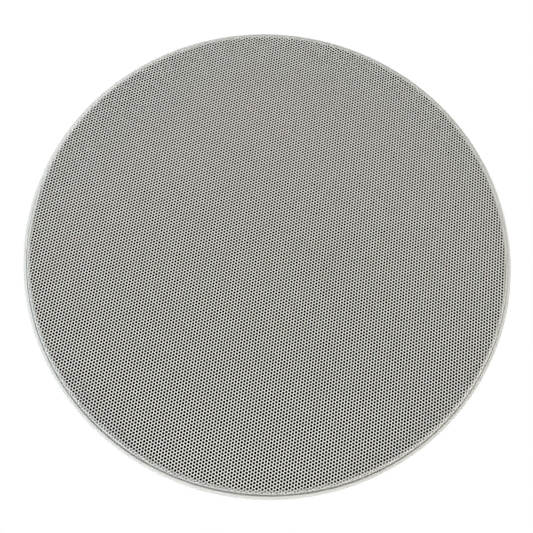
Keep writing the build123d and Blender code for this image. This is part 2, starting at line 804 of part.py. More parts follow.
# Push terminals: a block with two sprung tabs, and a wire hole beside each
tag_bottom = board_top + terminal_tag_lift
block_front = board_middle - terminal_depth / 2
with BuildPart() as terminal_block:
    with BuildSketch(station(board_middle, terminal_angle, board_top)):
        RectangleRounded(terminal_depth, terminal_width, terminal_corner)
    extrude(amount=terminal_top - board_top)
    chamfer(terminal_block.edges().group_by(Axis.Z)[-1], terminal_bevel)
    with BuildSketch(station(board_middle, terminal_angle, pocket_bottom)):
        with Locations((0, -tab_place), (0, tab_place)):
            Rectangle(tab_depth + 2 * tab_clear, tab_width + 2 * tab_clear)
        with Locations((0, -wire_place), (0, wire_place)):
            Circle(wire_radius)
    extrude(amount=terminal_top - pocket_bottom, mode=Mode.SUBTRACT)
    with BuildSketch(station(block_front + terminal_tag_socket / 2, terminal_angle, tag_bottom)):
        with Locations((0, -wire_place), (0, wire_place)):
            Rectangle(terminal_tag_socket, terminal_tag_width)
    extrude(amount=terminal_tag_thick, mode=Mode.SUBTRACT)
save(terminal_block.part, "terminal_block")

tag_middle = block_front + terminal_tag_socket - terminal_tag_length / 2
with BuildPart() as terminal_tags:
    with BuildSketch(station(tag_middle, terminal_angle, tag_bottom)):
        with Locations((0, -wire_place), (0, wire_place)):
            Rectangle(terminal_tag_length, terminal_tag_width)
    extrude(amount=terminal_tag_thick)
save(terminal_tags.part, "terminal_tags")

for colour, side in (("red", -1), ("black", 1)):
    with BuildPart() as terminal_tab:
        with BuildSketch(station(board_middle, terminal_angle, tab_bottom)):
            with Locations((0, side * tab_place)):
                Rectangle(tab_depth, tab_width)
        extrude(amount=tab_top - tab_bottom)
        chamfer(terminal_tab.edges().group_by(Axis.Z)[-1], tab_bevel)
    save(terminal_tab.part, f"terminal_tab_{colour}")

# Tag board, riveted flat against one of the basket's spokes
spoke_run = (wall_back[0] - wall_front[0], wall_back[1] - wall_front[1])
spoke_length = hypot(*spoke_run)
tag_plane = Plane(
    origin=polar((wall_front[0] + wall_back[0]) / 2, tag_board_angle, (wall_front[1] + wall_back[1]) / 2),
    x_dir=polar(1, tag_board_angle + 90),
    z_dir=polar(spoke_run[1] / spoke_length, tag_board_angle, -spoke_run[0] / spoke_length),
)
with BuildPart() as woofer_tag_board:
    with BuildSketch(tag_plane):
        RectangleRounded(tag_board_width, tag_board_height, tag_board_corner)
    extrude(amount=tag_board_thick)
save(woofer_tag_board.part, "woofer_tag_board")

with BuildPart() as woofer_tags:
    with BuildSketch(tag_plane.offset(tag_board_thick)):
        with Locations((-tag_spread, 0), (tag_spread, 0)):
            Rectangle(tag_thick, tag_width)
    extrude(amount=tag_length)
save(woofer_tags.part, "woofer_tags")
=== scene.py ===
import bpy
import json
import math
import numpy as np
from mathutils import Matrix, Vector
from mathutils.geometry import delaunay_2d_cdt


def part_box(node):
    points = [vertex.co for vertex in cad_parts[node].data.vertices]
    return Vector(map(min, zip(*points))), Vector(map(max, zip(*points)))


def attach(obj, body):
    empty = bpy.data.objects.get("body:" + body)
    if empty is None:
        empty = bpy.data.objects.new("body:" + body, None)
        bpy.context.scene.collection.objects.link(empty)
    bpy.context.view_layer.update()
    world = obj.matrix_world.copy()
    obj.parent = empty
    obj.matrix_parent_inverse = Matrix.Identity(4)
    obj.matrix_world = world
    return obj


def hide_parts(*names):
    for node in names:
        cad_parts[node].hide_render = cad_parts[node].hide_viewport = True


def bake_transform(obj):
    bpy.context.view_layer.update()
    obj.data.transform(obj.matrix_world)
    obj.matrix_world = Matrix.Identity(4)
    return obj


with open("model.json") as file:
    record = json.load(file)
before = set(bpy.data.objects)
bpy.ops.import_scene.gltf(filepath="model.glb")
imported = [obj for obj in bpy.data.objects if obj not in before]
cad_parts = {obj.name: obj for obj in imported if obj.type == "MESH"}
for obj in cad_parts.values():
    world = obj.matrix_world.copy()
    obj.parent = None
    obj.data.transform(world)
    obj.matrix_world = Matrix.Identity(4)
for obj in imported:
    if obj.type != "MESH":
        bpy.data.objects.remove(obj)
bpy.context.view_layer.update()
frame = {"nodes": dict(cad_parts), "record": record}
mm = 0.001
tiny = 1e-9
nodes = frame["nodes"]
slotOf = {row["node"]: row["material_slot"] for row in frame["record"]["subparts"]}
print("frame loaded:", len(nodes), "nodes")


# Node trees

def addNode(tree, kind, inputs=None, **settings):
    node = tree.nodes.new(kind)
    for key, value in settings.items():
        setattr(node, key, value)
    for key, value in (inputs or {}).items():
        if isinstance(value, bpy.types.NodeSocket):
            tree.links.new(value, node.inputs[key])
        else:
            node.inputs[key].default_value = value
    return node


def newGroup(name, outputs):
    # A shader node group that reads a place and a scale and gives plain values
    group = bpy.data.node_groups.new(name, "ShaderNodeTree")
    group.interface.new_socket(name="Vector", in_out="INPUT", socket_type="NodeSocketVector")
    group.interface.new_socket(name="Scale", in_out="INPUT", socket_type="NodeSocketFloat")
    for label in outputs:
        group.interface.new_socket(name=label, in_out="OUTPUT", socket_type="NodeSocketFloat")
    return group, group.nodes.new("NodeGroupInput"), group.nodes.new("NodeGroupOutput")


def mathNode(tree, operation, a, b=0.0):
    return addNode(tree, "ShaderNodeMath", {0: a, 1: b}, operation=operation).outputs[0]


def spread(tree, value, low, high, outLow=0.0, outHigh=1.0):
    # Stretches the band from low to high over the band from outLow to outHigh
    node = addNode(tree, "ShaderNodeMapRange", {0: value, 1: low, 2: high, 3: outLow, 4: outHigh})
    return node.outputs[0]


def mixColour(tree, factor, first, second):
    # One colour at a factor of 0, the other at 1
    return addNode(tree, "ShaderNodeMix", {0: factor, 6: first, 7: second}, data_type="RGBA").outputs[2]


patternUser = {
    "grain": {"detail": 3.0, "band": (0.35, 0.65), "finer": 3.7, "fineShare": 0.4},
    "rings": {"detail": 2.0, "band": (0.3, 0.7)},
    "weave": {"fuzz": 2500.0},
    "tracks": {"band": (0.1, 0.14)},
}
dustUser = {"colour": (0.42, 0.40, 0.37), "scale": 45.0, "detail": 5.0, "roughness": 0.6,
            "band": (0.45, 0.75), "usual": 0.06, "share": 0.25, "roughen": 0.06}


def grainGroup(user):
    # Fine pebbled skin: two sizes of noise added, the mask from the coarse one
    group, given, out = newGroup("mouldGrain", ("Mask", "Height"))
    place, scale = given.outputs["Vector"], given.outputs["Scale"]
    coarse = addNode(group, "ShaderNodeTexNoise",
                     {"Vector": place, "Scale": scale, "Detail": user["detail"]})
    finer = mathNode(group, "MULTIPLY", scale, user["finer"])
    fine = addNode(group, "ShaderNodeTexVoronoi", {"Vector": place, "Scale": finer})
    pebbles = mathNode(group, "MULTIPLY", fine.outputs[0], user["fineShare"])
    group.links.new(spread(group, coarse.outputs[0], *user["band"]), out.inputs["Mask"])
    group.links.new(mathNode(group, "ADD", coarse.outputs[0], pebbles), out.inputs["Height"])
    return group


def ringGroup(user):
    # Turning marks: noise read along the distance from the axis only
    group, given, out = newGroup("turnedRings", ("Mask", "Height"))
    parts = addNode(group, "ShaderNodeSeparateXYZ", {0: given.outputs["Vector"]})
    square = [mathNode(group, "POWER", parts.outputs[k], 2.0) for k in (0, 1)]
    radius = mathNode(group, "SQRT", mathNode(group, "ADD", square[0], square[1]))
    along = mathNode(group, "MULTIPLY", radius, given.outputs["Scale"])
    lines = addNode(group, "ShaderNodeTexNoise", {"W": along, "Scale": 1.0, "Detail": user["detail"]},
                    noise_dimensions="1D")
    group.links.new(spread(group, lines.outputs[0], *user["band"]), out.inputs["Mask"])
    group.links.new(lines.outputs[0], out.inputs["Height"])
    return group


def weaveGroup(user):
    # Plain weave: the product of two sines, one along each thread, lifted by half
    group, given, out = newGroup("plainWeave", ("Mask", "Height"))
    parts = addNode(group, "ShaderNodeSeparateXYZ", {0: given.outputs["Vector"]})
    waves = []
    for k in (0, 1):
        turn = mathNode(group, "MULTIPLY", parts.outputs[k], given.outputs["Scale"])
        waves.append(mathNode(group, "SINE", mathNode(group, "MULTIPLY", turn, 2 * math.pi)))
    lifted = spread(group, mathNode(group, "MULTIPLY", waves[0], waves[1]), -1.0, 1.0)
    fuzz = addNode(group, "ShaderNodeTexNoise", {"Vector": given.outputs["Vector"], "Scale": user["fuzz"]})
    group.links.new(mathNode(group, "MULTIPLY", lifted, fuzz.outputs[0]), out.inputs["Mask"])
    group.links.new(lifted, out.inputs["Height"])
    return group


def turnsGroup():
    # Wound wire: round ridges one above the other, the absolute sine of the height. The ridge is also the
    # colour mask, so the grooves between turns take the darker colour as painted shade
    group, given, out = newGroup("woundTurnsGrooveShade", ("Mask", "Height"))
    parts = addNode(group, "ShaderNodeSeparateXYZ", {0: given.outputs["Vector"]})
    turn = mathNode(group, "MULTIPLY", parts.outputs[2], given.outputs["Scale"])
    ridge = mathNode(group, "ABSOLUTE", mathNode(group, "SINE", mathNode(group, "MULTIPLY", turn, math.pi)))
    group.links.new(ridge, out.inputs["Mask"])
    group.links.new(ridge, out.inputs["Height"])
    return group


def trackGroup(user):
    # Copper tracks under the solder mask: cells that show where their edges lie far apart
    group, given, out = newGroup("boardTracks", ("Mask", "Height"))
    cells = addNode(group, "ShaderNodeTexVoronoi",
                    {"Vector": given.outputs["Vector"], "Scale": given.outputs["Scale"]},
                    feature="DISTANCE_TO_EDGE", distance="MANHATTAN")
    track = spread(group, cells.outputs[0], *user["band"])
    group.links.new(track, out.inputs["Mask"])
    group.links.new(track, out.inputs["Height"])
    return group


def dustGroup(user):
    # Handling and settled dust: broad soft patches, thinner than the finish
    group, given, out = newGroup("dustFilm", ("Mask",))
    cloud = addNode(group, "ShaderNodeTexNoise",
                    {"Vector": given.outputs["Vector"], "Scale": given.outputs["Scale"],
                     "Detail": user["detail"], "Roughness": user["roughness"]})
    group.links.new(spread(group, cloud.outputs[0], *user["band"]), out.inputs["Mask"])
    return group


patterns = {
    "grain": grainGroup(patternUser["grain"]),
    "rings": ringGroup(patternUser["rings"]),
    "weave": weaveGroup(patternUser["weave"]),
    "turns": turnsGroup(),
    "tracks": trackGroup(patternUser["tracks"]),
}
dust = dustGroup(dustUser)
print("shader groups made")


# Finishes: colour and darker colour by the pattern, roughness from and to, bump depth in metres

finishes = {
    "white_abs": dict(colour=(0.725, 0.72, 0.695), dark=(0.685, 0.68, 0.655), rough=(0.42, 0.56),
                      pattern="grain", scale=1500, bump=0.00002, shine=0.35),
    "white_powder_coat": dict(colour=(0.845, 0.837, 0.797), dark=(0.781, 0.773, 0.736), rough=(0.55, 0.7),
                              pattern="grain", scale=2200, bump=0.00002, shine=0.35),
    "black_cloth": dict(colour=(0.007, 0.007, 0.007), dark=(0.002, 0.002, 0.002), rough=(0.85, 0.97),
                        pattern="weave", scale=2400, bump=0.00008, dusty=0.0, shine=0.05),
    "nickel": dict(colour=(0.66, 0.63, 0.58), dark=(0.55, 0.53, 0.5), rough=(0.18, 0.3), metal=1.0,
                   pattern="grain", scale=400, bump=0.000003),
    "black_pressed_steel": dict(colour=(0.03, 0.03, 0.032), dark=(0.018, 0.018, 0.019), rough=(0.3, 0.45),
                                pattern="grain", scale=900, bump=0.00003, dusty=0.35),
    "foam_gasket": dict(colour=(0.04, 0.04, 0.042), dark=(0.012, 0.012, 0.012), rough=(0.85, 0.98),
                        pattern="grain", scale=700, bump=0.0002),
    "black_zinc": dict(colour=(0.07, 0.07, 0.075), dark=(0.035, 0.035, 0.04), rough=(0.28, 0.45), metal=0.9,
                       pattern="grain", scale=700, bump=0.00001),
    "black_rubber": dict(colour=(0.026, 0.026, 0.027), dark=(0.016, 0.016, 0.017), rough=(0.5, 0.68),
                         pattern="grain", scale=800, bump=0.00003, dusty=0.3),
    "grey_polypropylene": dict(colour=(0.075, 0.075, 0.08), dark=(0.05, 0.05, 0.054), rough=(0.34, 0.5),
                               pattern="rings", scale=900, bump=0.00002, dusty=0.25),
    "former_foil": dict(colour=(0.76, 0.76, 0.77), dark=(0.6, 0.6, 0.61), rough=(0.25, 0.4), metal=1.0,
                        pattern="grain", scale=500, bump=0.00001),
    # copper's darker colour lies in the grooves between turns: painted shade
    "copper_wire": dict(colour=(0.66, 0.29, 0.12), dark=(0.3, 0.1, 0.035), rough=(0.22, 0.36), metal=1.0,
                        pattern="turns", scale=1250, bump=0.00012),
    "amber_cloth": dict(colour=(0.6, 0.37, 0.12), dark=(0.36, 0.2, 0.055), rough=(0.72, 0.88),
                        pattern="weave", scale=1100, bump=0.00015, dusty=0.3),
    "zinc_steel": dict(colour=(0.39, 0.39, 0.378), dark=(0.27, 0.27, 0.26), rough=(0.28, 0.46), metal=1.0,
                       pattern="rings", scale=2600, bump=0.000012, dusty=0.3),
    "ferrite": dict(colour=(0.085, 0.085, 0.09), dark=(0.05, 0.05, 0.053), rough=(0.48, 0.68),
                    pattern="grain", scale=500, bump=0.00004, dusty=0.4),
    "black_abs": dict(colour=(0.028, 0.028, 0.029), dark=(0.016, 0.016, 0.017), rough=(0.4, 0.55),
                      pattern="grain", scale=1400, bump=0.00003, dusty=0.25),
    "silk": dict(colour=(0.035, 0.035, 0.038), dark=(0.012, 0.012, 0.013), rough=(0.55, 0.75),
                 pattern="weave", scale=3200, bump=0.00005),
    "green_laminate": dict(colour=(0.035, 0.2, 0.08), dark=(0.018, 0.11, 0.045), rough=(0.22, 0.34),
                           pattern="tracks", scale=210, bump=0.00005, coat=0.3),
    "zinc_screw": dict(colour=(0.66, 0.66, 0.65), dark=(0.46, 0.46, 0.44), rough=(0.22, 0.4), metal=1.0,
                       pattern="grain", scale=650, bump=0.00001),
    "yellow_film": dict(colour=(0.74, 0.5, 0.07), dark=(0.62, 0.39, 0.045), rough=(0.28, 0.42),
                        pattern="grain", scale=500, bump=0.00003, coat=0.2),
    "tinned_brass": dict(colour=(0.74, 0.7, 0.62), dark=(0.56, 0.52, 0.44), rough=(0.22, 0.42), metal=1.0,
                         pattern="grain", scale=600, bump=0.00002),
    "red_plastic": dict(colour=(0.56, 0.022, 0.02), dark=(0.42, 0.014, 0.013), rough=(0.24, 0.36),
                        pattern="grain", scale=700, bump=0.00002, coat=0.2),
    "black_gloss_plastic": dict(colour=(0.03, 0.03, 0.031), dark=(0.018, 0.018, 0.019), rough=(0.22, 0.34),
                                pattern="grain", scale=700, bump=0.00002, coat=0.2),
    "brown_laminate": dict(colour=(0.27, 0.135, 0.055), dark=(0.17, 0.08, 0.03), rough=(0.45, 0.62),
                           pattern="grain", scale=1100, bump=0.00002),
    "black_nylon": dict(colour=(0.038, 0.038, 0.04), dark=(0.022, 0.022, 0.023), rough=(0.42, 0.6),
                        pattern="grain", scale=1000, bump=0.00004, dusty=0.25),
}


def makeFinish(name, user):
    # Pattern mask mixes the two colours and the roughness, dust lightens broad patches, the height bumps
    material = bpy.data.materials.new(name)
    material.use_nodes = True
    tree = material.node_tree
    shader = tree.nodes["Principled BSDF"]
    place = addNode(tree, "ShaderNodeTexCoord").outputs["Object"]
    pattern = addNode(tree, "ShaderNodeGroup", node_tree=patterns[user["pattern"]])
    tree.links.new(place, pattern.inputs["Vector"])
    pattern.inputs["Scale"].default_value = user["scale"]
    film = addNode(tree, "ShaderNodeGroup", node_tree=dust)
    tree.links.new(place, film.inputs["Vector"])
    film.inputs["Scale"].default_value = dustUser["scale"]
    tone = mixColour(tree, pattern.outputs["Mask"], (*user["dark"], 1.0), (*user["colour"], 1.0))
    dusty = user.get("dusty", dustUser["usual"]) * dustUser["share"]
    amount = mathNode(tree, "MULTIPLY", film.outputs["Mask"], dusty)
    tree.links.new(mixColour(tree, amount, tone, (*dustUser["colour"], 1.0)), shader.inputs["Base Color"])
    rough = mathNode(tree, "ADD", spread(tree, pattern.outputs["Mask"], 0.0, 1.0, *user["rough"]),
                     mathNode(tree, "MULTIPLY", film.outputs["Mask"], dustUser["roughen"]))
    tree.links.new(rough, shader.inputs["Roughness"])
    bump = addNode(tree, "ShaderNodeBump", {"Height": pattern.outputs["Height"], "Distance": user["bump"]})
    tree.links.new(bump.outputs[0], shader.inputs["Normal"])
    shader.inputs["Metallic"].default_value = user.get("metal", 0.0)
    shader.inputs["Coat Weight"].default_value = user.get("coat", 0.0)
    shader.inputs["Specular IOR Level"].default_value = user.get("shine", 0.5)
    return material


materials = {name: makeFinish(name, user) for name, user in finishes.items()}
for name, node in nodes.items():
    node.data.materials.clear()
    node.data.materials.append(materials[slotOf[name]])
print("finishes made:", len(materials))


# Mesh helpers

def putMesh(name, points, triangles, slot, sharp=40.0):
    # Whole arrays of points and triangles into one smooth mesh, creased where faces turn by more than sharp
    mesh = bpy.data.meshes.new(name)
    mesh.vertices.add(len(points))
    mesh.vertices.foreach_set("co", np.ascontiguousarray(points, np.float32).ravel())
    mesh.loops.add(triangles.size)
    mesh.loops.foreach_set("vertex_index", np.ascontiguousarray(triangles, np.int32).ravel())
    mesh.polygons.add(len(triangles))
    mesh.polygons.foreach_set("loop_start", np.arange(0, triangles.size, 3, dtype=np.int32))
    mesh.polygons.foreach_set("use_smooth", np.ones(len(triangles), bool))
    mesh.update()
    mesh.set_sharp_from_angle(angle=math.radians(sharp))
    mesh.materials.append(materials[slot])
    piece = bpy.data.objects.new(name, mesh)
    bpy.context.scene.collection.objects.link(piece)
    return piece


def spinGrid(radius, height, centre=(0.0, 0.0), loop=False):
    # Rows of radius and height carried round the axis: x, y = centre + radius times cosine, sine of the
    # column's angle. A row of no radius becomes one pole. A loop closes its last row onto its first.
    rows, columns = radius.shape
    angle = np.arange(columns) * 2 * math.pi / columns
    points = np.stack([centre[0] + radius * np.cos(angle), centre[1] + radius * np.sin(angle), height], -1)
    ids = np.arange(rows * columns).reshape(rows, columns)
    pole = np.all(radius < tiny, axis=1)
    ids[pole] = ids[pole][:, :1]
    below = ids if loop else ids[:-1]
    above = np.roll(ids, -1, axis=0) if loop else ids[1:]
    corners = [below, np.roll(below, -1, axis=1), np.roll(above, -1, axis=1), above]
    triangles = np.concatenate([np.stack([corners[k] for k in pick], -1).reshape(-1, 3)
                                for pick in ((0, 1, 2), (0, 2, 3))])
    whole = (triangles[:, 0] != triangles[:, 1]) & (triangles[:, 1] != triangles[:, 2])
    whole &= triangles[:, 2] != triangles[:, 0]
    return compact(points.reshape(-1, 3), triangles[whole])


def compact(points, triangles):
    # Leaves out the points that no triangle uses
    used, back = np.unique(triangles, return_inverse=True)
    return points[used], back.reshape(triangles.shape)


def together(parts):
    # Several arrays of points and triangles as one, each part's numbers moved on past the points before it
    starts = np.cumsum([0] + [len(part[0]) for part in parts[:-1]])
    points = np.concatenate([part[0] for part in parts])
    triangles = np.concatenate([part[1] + start for start, part in zip(starts, parts)])
    return points, triangles


# Grille: a close-packed sheet of punched holes with its edge turned up

grilleLow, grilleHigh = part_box("grille")
grilleUser = {
    "pitch": 1.5 * mm,
    "hole": 1.22 * mm,           # each many-sided hole has the area of a round one of this width
    "breakout": 1.18,            # the hole's size where the punch comes out, at the back
    "frontSides": 10,
    "backSides": 6,              # one to each neighbour
    "sheet": 0.5 * mm,
    "bend": 1.4 * mm,
    "phase": (-0.401 * mm, 0.86 * mm),   # one hole's place, from the photo's rows
    "latticeRoom": 1.25,         # the lattice is numbered this far, against the blank
    "runOn": 0.3 * mm,           # how far the holes' middles go on to the skirt
    "plainRing": 1.0 * mm,       # where the plain part of the skirt starts, past the last middles
    "skirtRings": 3,
    "rimSteps": 720,
    "sectors": 6,
    "crease": 45.0,
    "wallMap": 0.66,             # a wall's back edge on the map, against the back's hole
    "mapRoom": 2.1,              # room on the map for front and back side by side
    "backOnMap": 0.5,
}
frontSides, backSides = grilleUser["frontSides"], grilleUser["backSides"]
# The front's corner over each corner of the back, and the front's edges from there to the next one
sixthStart = np.rint(np.arange(backSides) * frontSides / backSides).astype(int)
sixthEdges = np.diff(np.append(sixthStart, frontSides))
grilleRadius, grilleFace, skirtEdge = grilleHigh.x, grilleLow.z, grilleHigh.z
flatRadius = grilleRadius - grilleUser["bend"]
bendLength = grilleUser["bend"] * math.pi / 2
punchedRadius = flatRadius + bendLength + grilleUser["runOn"]
blankRadius = flatRadius + bendLength + skirtEdge - (grilleFace + grilleUser["bend"])


def pressSheet(plan, depth):
    # A point of the flat blank, at a distance s from the middle, stays at radius s on the flat, goes round
    # the bend by (s - flat) / bend radius as an angle, then straight up the skirt. depth moves it in through
    # the sheet.
    reach = np.hypot(plan[:, 0], plan[:, 1])
    turn = np.clip((reach - flatRadius) / grilleUser["bend"], 0.0, math.pi / 2)
    rise = np.maximum(reach - flatRadius - bendLength, 0.0)
    bendRadius = grilleUser["bend"] - depth
    radius = np.minimum(reach, flatRadius) + bendRadius * np.sin(turn)
    height = grilleFace + grilleUser["bend"] - bendRadius * np.cos(turn) + rise
    way = plan / np.maximum(reach, tiny)[:, None]
    return np.column_stack([way * radius[:, None], height])


def holeLattice():
    # Middles at x = i rows, y = (j - i / 2) pitches. A strip is two neighbours and their direction, 30, 90 or
    # 150 degrees. A gap is the corners of three holes that meet, counted as the back counts them.
    pitch = grilleUser["pitch"]
    row = pitch * math.sqrt(0.75)
    span = int(blankRadius / pitch * grilleUser["latticeRoom"])
    i, j = np.meshgrid(np.arange(-span, span + 1), np.arange(-2 * span, 2 * span + 1), indexing="ij")
    x = row * i + grilleUser["phase"][0]
    y = pitch * (j - i / 2) + grilleUser["phase"][1]
    punched = np.hypot(x, y) < punchedRadius
    own = np.arange(punched.sum())
    number = np.full(punched.shape, -1)
    number[punched] = own

    def beside(di, dj):
        return np.roll(number, (-di, -dj), axis=(0, 1))[punched]

    right, up, left, low = beside(1, 1), beside(0, 1), beside(-1, 0), beside(1, 0)
    strips, gaps = [], []
    for side, other in enumerate((right, up, left)):
        strips.append(np.column_stack([own, other, np.full(len(own), side)])[other >= 0])
    for turn, second, third in ((0, low, right), (1, right, up)):
        corners = backSides * np.column_stack([own, second, third]) + np.array([0, 2, 4]) + turn
        gaps.append(corners[(second >= 0) & (third >= 0)])
    return np.column_stack([x[punched], y[punched]]), np.concatenate(strips), np.concatenate(gaps)


def holeCorners(centre, sides, across):
    # Regular corners round every middle, with the area of a round hole of that width
    reach = across / 2 * math.sqrt(2 * math.pi / (sides * math.sin(2 * math.pi / sides)))
    angle = np.arange(sides) * 2 * math.pi / sides
    return (centre[:, None] + reach * np.column_stack([np.cos(angle), np.sin(angle)])).reshape(-1, 2)


def frontCorner(corner):
    # The front's corner over a corner of the back
    return corner // backSides * frontSides + sixthStart[corner % backSides]


def webFaces(strips, gaps, sides, starts, edges):
    # The web between holes of so many sides: each strip joins the sixths that two neighbours turn to each
    # other, edge by edge, and each gap is one triangle
    faces = [gaps // backSides * sides + starts[gaps % backSides]]
    for side in range(3):
        own, other = strips[strips[:, 2] == side, :2].T * sides
        facing = starts[(side + 4) % backSides]
        for k in range(edges[side]):
            near = own + starts[side] + k
            far, after = other + (facing - k) % sides, other + (facing - k - 1) % sides
            faces += [np.column_stack([near, far, after]), np.column_stack([near, after, near + 1])]
    return np.concatenate(faces)


def frontWeb(strips, gaps):
    return webFaces(strips, gaps, frontSides, sixthStart, sixthEdges)


def backWeb(strips, gaps):
    return webFaces(strips, gaps, backSides, np.arange(backSides), np.ones(backSides, int))


def looseEdges(*groups):
    # Directed edges of the faces whose opposite is in no other face
    edges = np.concatenate([np.stack([faces, np.roll(faces, -1, axis=1)], -1).reshape(-1, 2)
                            for faces in groups])
    size = edges.max() + 1
    forward, backward = edges[:, 0] * size + edges[:, 1], edges[:, 1] * size + edges[:, 0]
    return edges[~np.isin(forward, backward)]


def chain(edges, count):
    # Orders a closed run of edges by doubling: the run so far, then the same run carried that many steps on
    follow = np.full(count, -1)
    follow[edges[:, 0]] = edges[:, 1]
    run = edges[:1, 0]
    while len(run) < len(edges):
        run = np.concatenate([run, follow[run]])
        follow = np.where(follow >= 0, follow[follow], -1)
    return run[:len(edges)]


def sheetWalls(edges, frontOf, holeOf, lift):
    # Walls along the back's loose edges: three triangles along a sixth of a hole that has one more corner at
    # the front, and two along any other edge
    sameHole = holeOf[edges[:, 0]] == holeOf[edges[:, 1]]
    more = sameHole & (frontOf[edges[:, 0]] != frontOf[edges[:, 1]] + 1)
    high, low = edges[more].T
    start, end = edges[~more].T
    middle = frontOf[low] + 1
    rows = [(middle, frontOf[low], low + lift), (frontOf[high], middle, high + lift),
            (middle, low + lift, high + lift), (frontOf[start], frontOf[end], end + lift),
            (frontOf[start], end + lift, start + lift)]
    return np.concatenate([np.column_stack(row) for row in rows])


def closedSheet(name, front, back, frontOf, holeOf, inside):
    # Front and back, each a flat plan and its faces, pressed into shape and joined by walls
    frontPlan, frontFaces = front
    backPlan, backFaces = back
    lift = len(frontPlan)
    walls = sheetWalls(looseEdges(backFaces), frontOf, holeOf, lift)
    points = np.concatenate([pressSheet(frontPlan, 0.0), pressSheet(backPlan, grilleUser["sheet"])])
    flats = np.concatenate([frontFaces[:, ::-1], backFaces + lift])
    mesh = compact(points, np.concatenate([flats, walls]))
    piece = putMesh(name, *mesh, "white_powder_coat", sharp=grilleUser["crease"])
    # Map: the flat blank itself, the back beside the front, the walls laid inside their holes
    flat = np.concatenate([np.concatenate([frontPlan, backPlan])[flats],
                           np.concatenate([frontPlan, inside])[walls]])
    flat -= flat.min(axis=(0, 1))
    flat /= grilleUser["mapRoom"] * flat.max()
    flat[len(frontFaces):len(flats), :, 0] += grilleUser["backOnMap"]
    layer = piece.data.uv_layers.new(name="OFBake")
    layer.data.foreach_set("uv", flat.astype(np.float32).ravel())
    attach(piece, "frame")
    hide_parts("grille")
    return len(flats) + len(walls)


def plainStrip(plan, count):
    # Fills between the run of the first points and the ring of the next ones. Faces that come from the run
    # itself, loop 0, cover the punched field and are left out.
    last = count + grilleUser["rimSteps"]
    loops = [list(range(count)), list(range(count, last))]
    made = delaunay_2d_cdt([Vector(place) for place in plan[:last]], [], loops, 1, tiny)
    faces, given, cameFrom = made[2], np.array([first[0] for first in made[3]]), made[5]
    return given[np.array([face for face, origin in zip(faces, cameFrom) if 0 not in origin])]


def turnedEdge(centre, frontCorners, backCorners, run):
    # The plain rim outside the punched field: a strip to the first ring, then rings up the skirt
    steps = grilleUser["rimSteps"]
    angle = np.arange(steps) * 2 * math.pi / steps
    ringAt = np.linspace(punchedRadius + grilleUser["plainRing"], blankRadius, grilleUser["skirtRings"])
    rings = (ringAt[:, None, None] * np.column_stack([np.cos(angle), np.sin(angle)])).reshape(-1, 2)
    grid = np.arange(len(rings)).reshape(-1, steps)
    a, b = grid[:-1], grid[1:]
    a2, b2 = np.roll(a, -1, axis=1), np.roll(b, -1, axis=1)
    skirt = np.concatenate([np.stack(corners, -1).reshape(-1, 3) for corners in ((a, b, b2), (a, b2, a2))])
    hole = run // backSides
    more = (hole == np.roll(hole, -1)) & (sixthEdges[run % backSides] == 2)
    frontRun = np.column_stack([frontCorner(run), frontCorner(run) + 1])
    frontRun = frontRun[np.column_stack([np.ones_like(more), more])]
    sides = []
    for corners, along in ((frontCorners, frontRun), (backCorners, run)):
        plan = np.concatenate([corners[along], rings])
        sides.append((plan, np.concatenate([plainStrip(plan, len(along)), skirt + len(along)])))
    frontOf = np.concatenate([np.cumsum(1 + more) - 1 - more, len(frontRun) + np.arange(len(rings))])
    holeOf = np.concatenate([hole, -1 - np.arange(len(rings))])   # a ring's points belong to no hole
    inside = np.concatenate([wallPlan(centre, backCorners, run), rings])
    return closedSheet("grilleTurnedEdge", *sides, frontOf, holeOf, inside)


def wallPlan(centre, backCorners, corner):
    # Where a wall's back edge lies on the map: the back's corner drawn in towards its hole's middle
    middle = centre[corner // backSides]
    return middle + (backCorners[corner] - middle) * grilleUser["wallMap"]


def sectorOf(place):
    # Number of the sector in which a place lies, from its direction
    turn = np.arctan2(place[:, 1], place[:, 0]) / (2 * math.pi) + 0.5
    return np.minimum(np.floor(turn * grilleUser["sectors"]), grilleUser["sectors"] - 1)


def punchedGrille():
    # Holes with more corners at the front than at the back, cut into sectors by the strips' and gaps' middles
    centre, strips, gaps = holeLattice()
    frontCorners = holeCorners(centre, frontSides, grilleUser["hole"])
    backCorners = holeCorners(centre, backSides, grilleUser["hole"] * grilleUser["breakout"])
    corner = np.arange(len(backCorners))
    inside = wallPlan(centre, backCorners, corner)
    stripSector = sectorOf(centre[strips[:, :2]].mean(axis=1))
    gapSector = sectorOf(centre[gaps // backSides].mean(axis=1))
    counts = []
    for number in range(grilleUser["sectors"]):
        parts = strips[stripSector == number], gaps[gapSector == number]
        front, back = (frontCorners, frontWeb(*parts)), (backCorners, backWeb(*parts))
        counts.append(closedSheet(f"grilleSector_{number + 1}", front, back, frontCorner(corner),
                                  corner // backSides, inside))
    run = chain(looseEdges(backWeb(strips, gaps), corner.reshape(-1, backSides)), len(corner))
    counts.append(turnedEdge(centre, frontCorners, backCorners, run))
    print("grille:", len(centre), "holes,", counts, "triangles")


punchedGrille()


# Backing cloth

clothLow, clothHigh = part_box("grille_cloth")
clothUser = {"rings": 6, "columns": 144}


def clothPiece():
    # A flat disc of two faces: radius from nothing to the rim and back, height stepping to the back there
    radius = clothHigh.x
    outward = np.linspace(0.0, radius, clothUser["rings"])
    rows = np.concatenate([outward, outward[::-1]])
    heights = np.concatenate([np.full(len(outward), clothLow.z), np.full(len(outward), clothHigh.z)])
    wide = np.ones(clothUser["columns"])
    points, triangles = spinGrid(rows[:, None] * wide, heights[:, None] * wide)
    piece = putMesh("grilleScrim", points, triangles, "black_cloth")
    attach(piece, "frame")
    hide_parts("grille_cloth")


